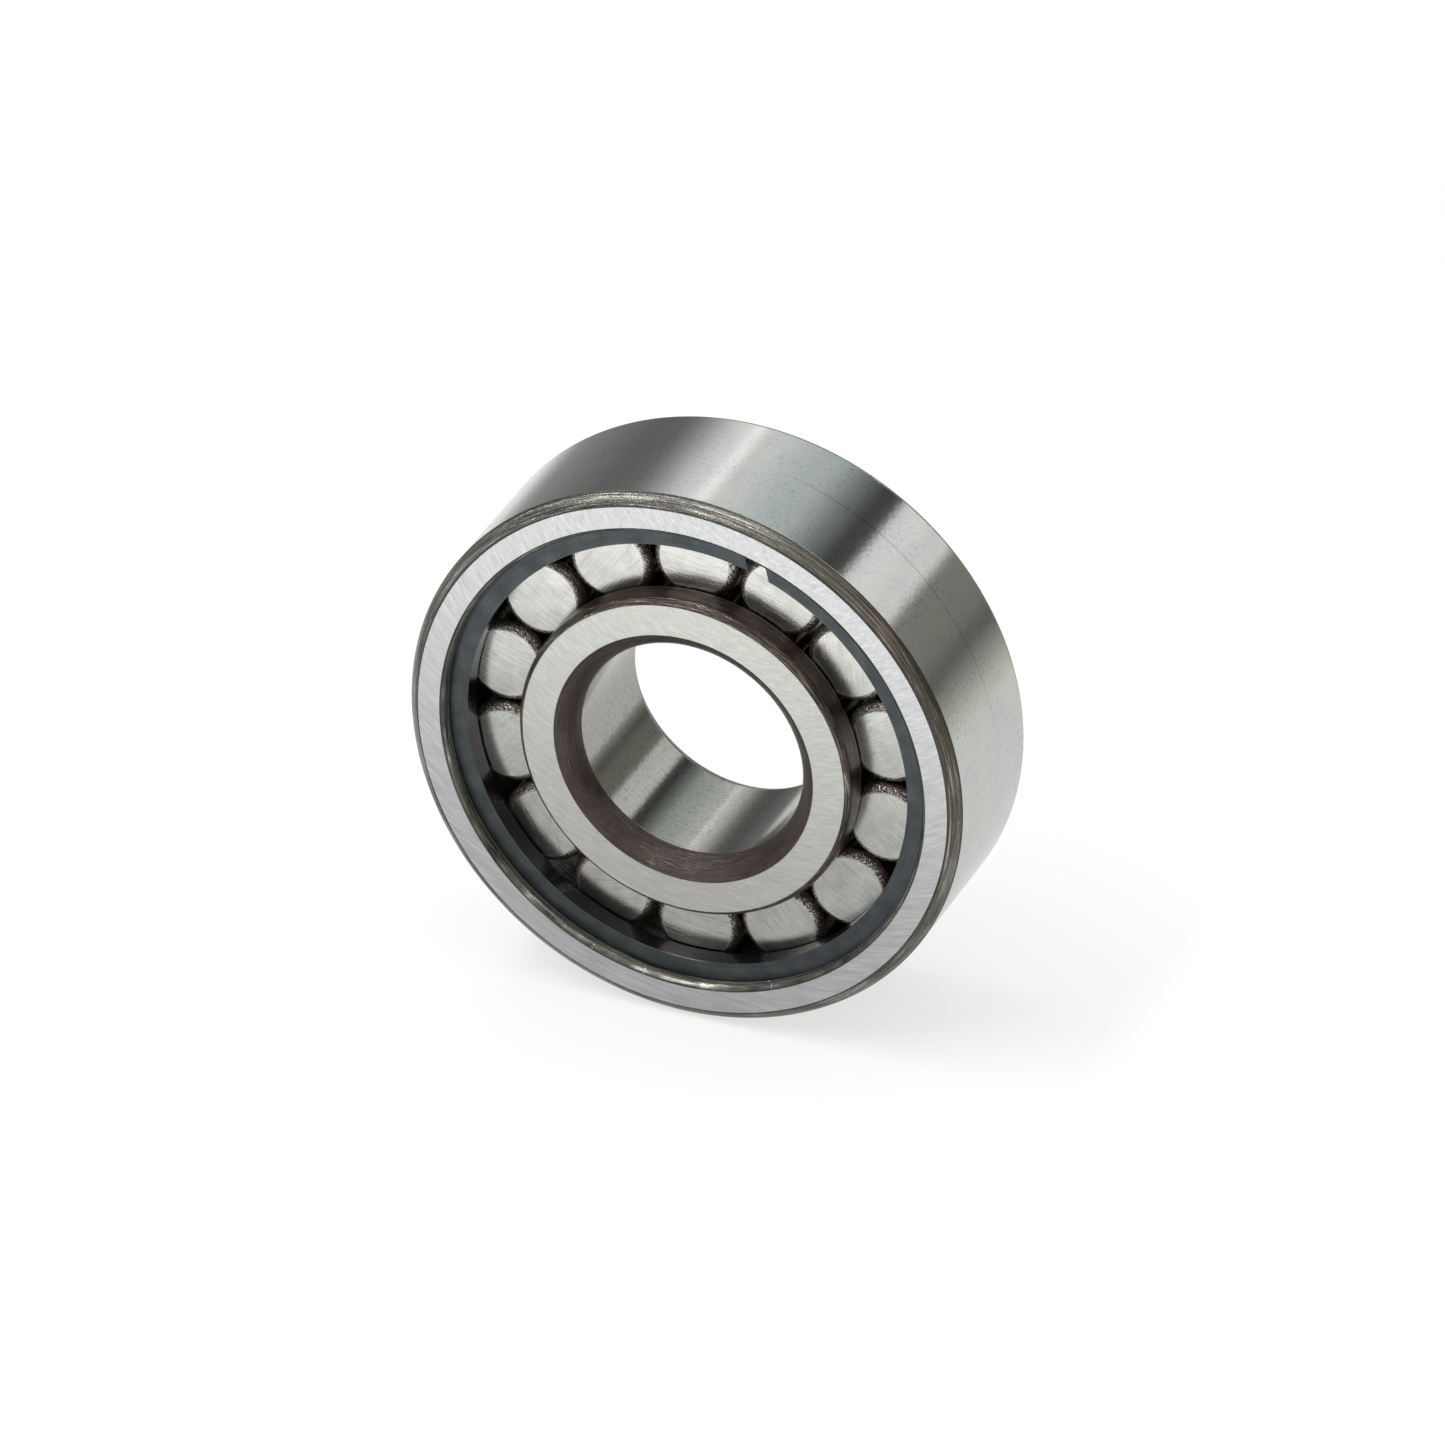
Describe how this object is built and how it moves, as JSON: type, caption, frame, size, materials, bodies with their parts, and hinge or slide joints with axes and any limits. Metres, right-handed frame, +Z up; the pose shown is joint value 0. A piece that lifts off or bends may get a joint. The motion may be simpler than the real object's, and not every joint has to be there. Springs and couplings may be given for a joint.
{
  "type": "cylindrical roller bearing",
  "caption": "Full-complement cylindrical roller bearing: ribbed outer ring, retaining ring at the front, double-ribbed inner ring, rollers without a cage.",
  "frame": {"origin": "on the bearing's axis, at the middle of the overall width", "axes": "Y along the bearing's axis, -Y towards the side with the retaining ring, +Z up as the bearing stands on its rim"},
  "size_m": [0.062, 0.0196, 0.062],
  "materials": {
    "outer_ring_steel": "ground bearing steel, with dark unground corners",
    "inner_ring_steel": "ground bearing steel, with brown unground corners",
    "snap_ring_steel": "blued spring steel, semi-gloss",
    "roller_steel": "ground and tumbled bearing steel"
  },
  "bodies": {
    "outer_ring": {"outer_ring": "outer_ring_steel", "snap_ring": "snap_ring_steel"},
    "inner_ring": {"inner_ring": "inner_ring_steel"},
    "roller_01": {"roller_01": "roller_steel"},
    "roller_02": {"roller_02": "roller_steel"},
    "roller_03": {"roller_03": "roller_steel"},
    "roller_04": {"roller_04": "roller_steel"},
    "roller_05": {"roller_05": "roller_steel"},
    "roller_06": {"roller_06": "roller_steel"},
    "roller_07": {"roller_07": "roller_steel"},
    "roller_08": {"roller_08": "roller_steel"},
    "roller_09": {"roller_09": "roller_steel"},
    "roller_10": {"roller_10": "roller_steel"},
    "roller_11": {"roller_11": "roller_steel"},
    "roller_12": {"roller_12": "roller_steel"},
    "roller_13": {"roller_13": "roller_steel"},
    "roller_14": {"roller_14": "roller_steel"}
  },
  "joints": [
    {"name": "inner_ring_spin", "type": "hinge", "parent": "outer_ring", "child": "inner_ring", "pos_m": [0, 0, 0], "axis": [0, 1, 0], "continuous": true},
    {"name": "roller_set_orbit", "type": "hinge", "parent": "outer_ring", "child": "roller_01", "pos_m": [0, 0, 0], "axis": [0, 1, 0], "continuous": true},
    {"name": "roller_02_spin", "type": "hinge", "parent": "roller_01", "child": "roller_02", "pos_m": [0.01708, 0.00028, 0.01379], "axis": [0, 1, 0], "continuous": true},
    {"name": "roller_03_spin", "type": "hinge", "parent": "roller_01", "child": "roller_03", "pos_m": [0.00941, 0.00028, 0.01983], "axis": [0, 1, 0], "continuous": true},
    {"name": "roller_04_spin", "type": "hinge", "parent": "roller_01", "child": "roller_04", "pos_m": [-0.00013, 0.00028, 0.02195], "axis": [0, 1, 0], "continuous": true},
    {"name": "roller_05_spin", "type": "hinge", "parent": "roller_01", "child": "roller_05", "pos_m": [-0.00964, 0.00028, 0.01972], "axis": [0, 1, 0], "continuous": true},
    {"name": "roller_06_spin", "type": "hinge", "parent": "roller_01", "child": "roller_06", "pos_m": [-0.01724, 0.00028, 0.01358], "axis": [0, 1, 0], "continuous": true},
    {"name": "roller_07_spin", "type": "hinge", "parent": "roller_01", "child": "roller_07", "pos_m": [-0.02143, 0.00028, 0.00476], "axis": [0, 1, 0], "continuous": true},
    {"name": "roller_08_spin", "type": "hinge", "parent": "roller_01", "child": "roller_08", "pos_m": [-0.02137, 0.00028, -0.00501], "axis": [0, 1, 0], "continuous": true},
    {"name": "roller_09_spin", "type": "hinge", "parent": "roller_01", "child": "roller_09", "pos_m": [-0.01708, 0.00028, -0.01379], "axis": [0, 1, 0], "continuous": true},
    {"name": "roller_10_spin", "type": "hinge", "parent": "roller_01", "child": "roller_10", "pos_m": [-0.00941, 0.00028, -0.01983], "axis": [0, 1, 0], "continuous": true},
    {"name": "roller_11_spin", "type": "hinge", "parent": "roller_01", "child": "roller_11", "pos_m": [0.00013, 0.00028, -0.02195], "axis": [0, 1, 0], "continuous": true},
    {"name": "roller_12_spin", "type": "hinge", "parent": "roller_01", "child": "roller_12", "pos_m": [0.00964, 0.00028, -0.01972], "axis": [0, 1, 0], "continuous": true},
    {"name": "roller_13_spin", "type": "hinge", "parent": "roller_01", "child": "roller_13", "pos_m": [0.01724, 0.00028, -0.01358], "axis": [0, 1, 0], "continuous": true},
    {"name": "roller_14_spin", "type": "hinge", "parent": "roller_01", "child": "roller_14", "pos_m": [0.02143, 0.00028, -0.00476], "axis": [0, 1, 0], "continuous": true}
  ],
  "couplings": [
    {"joint": "roller_set_orbit", "follows": "inner_ring_spin", "ratio": 0.3918},
    {"joint": "roller_02_spin", "follows": "inner_ring_spin", "ratio": -2.2023},
    {"joint": "roller_03_spin", "follows": "inner_ring_spin", "ratio": -2.2023},
    {"joint": "roller_04_spin", "follows": "inner_ring_spin", "ratio": -2.2023},
    {"joint": "roller_05_spin", "follows": "inner_ring_spin", "ratio": -2.2023},
    {"joint": "roller_06_spin", "follows": "inner_ring_spin", "ratio": -2.2023},
    {"joint": "roller_07_spin", "follows": "inner_ring_spin", "ratio": -2.2023},
    {"joint": "roller_08_spin", "follows": "inner_ring_spin", "ratio": -2.2023},
    {"joint": "roller_09_spin", "follows": "inner_ring_spin", "ratio": -2.2023},
    {"joint": "roller_10_spin", "follows": "inner_ring_spin", "ratio": -2.2023},
    {"joint": "roller_11_spin", "follows": "inner_ring_spin", "ratio": -2.2023},
    {"joint": "roller_12_spin", "follows": "inner_ring_spin", "ratio": -2.2023},
    {"joint": "roller_13_spin", "follows": "inner_ring_spin", "ratio": -2.2023},
    {"joint": "roller_14_spin", "follows": "inner_ring_spin", "ratio": -2.2023}
  ]
}
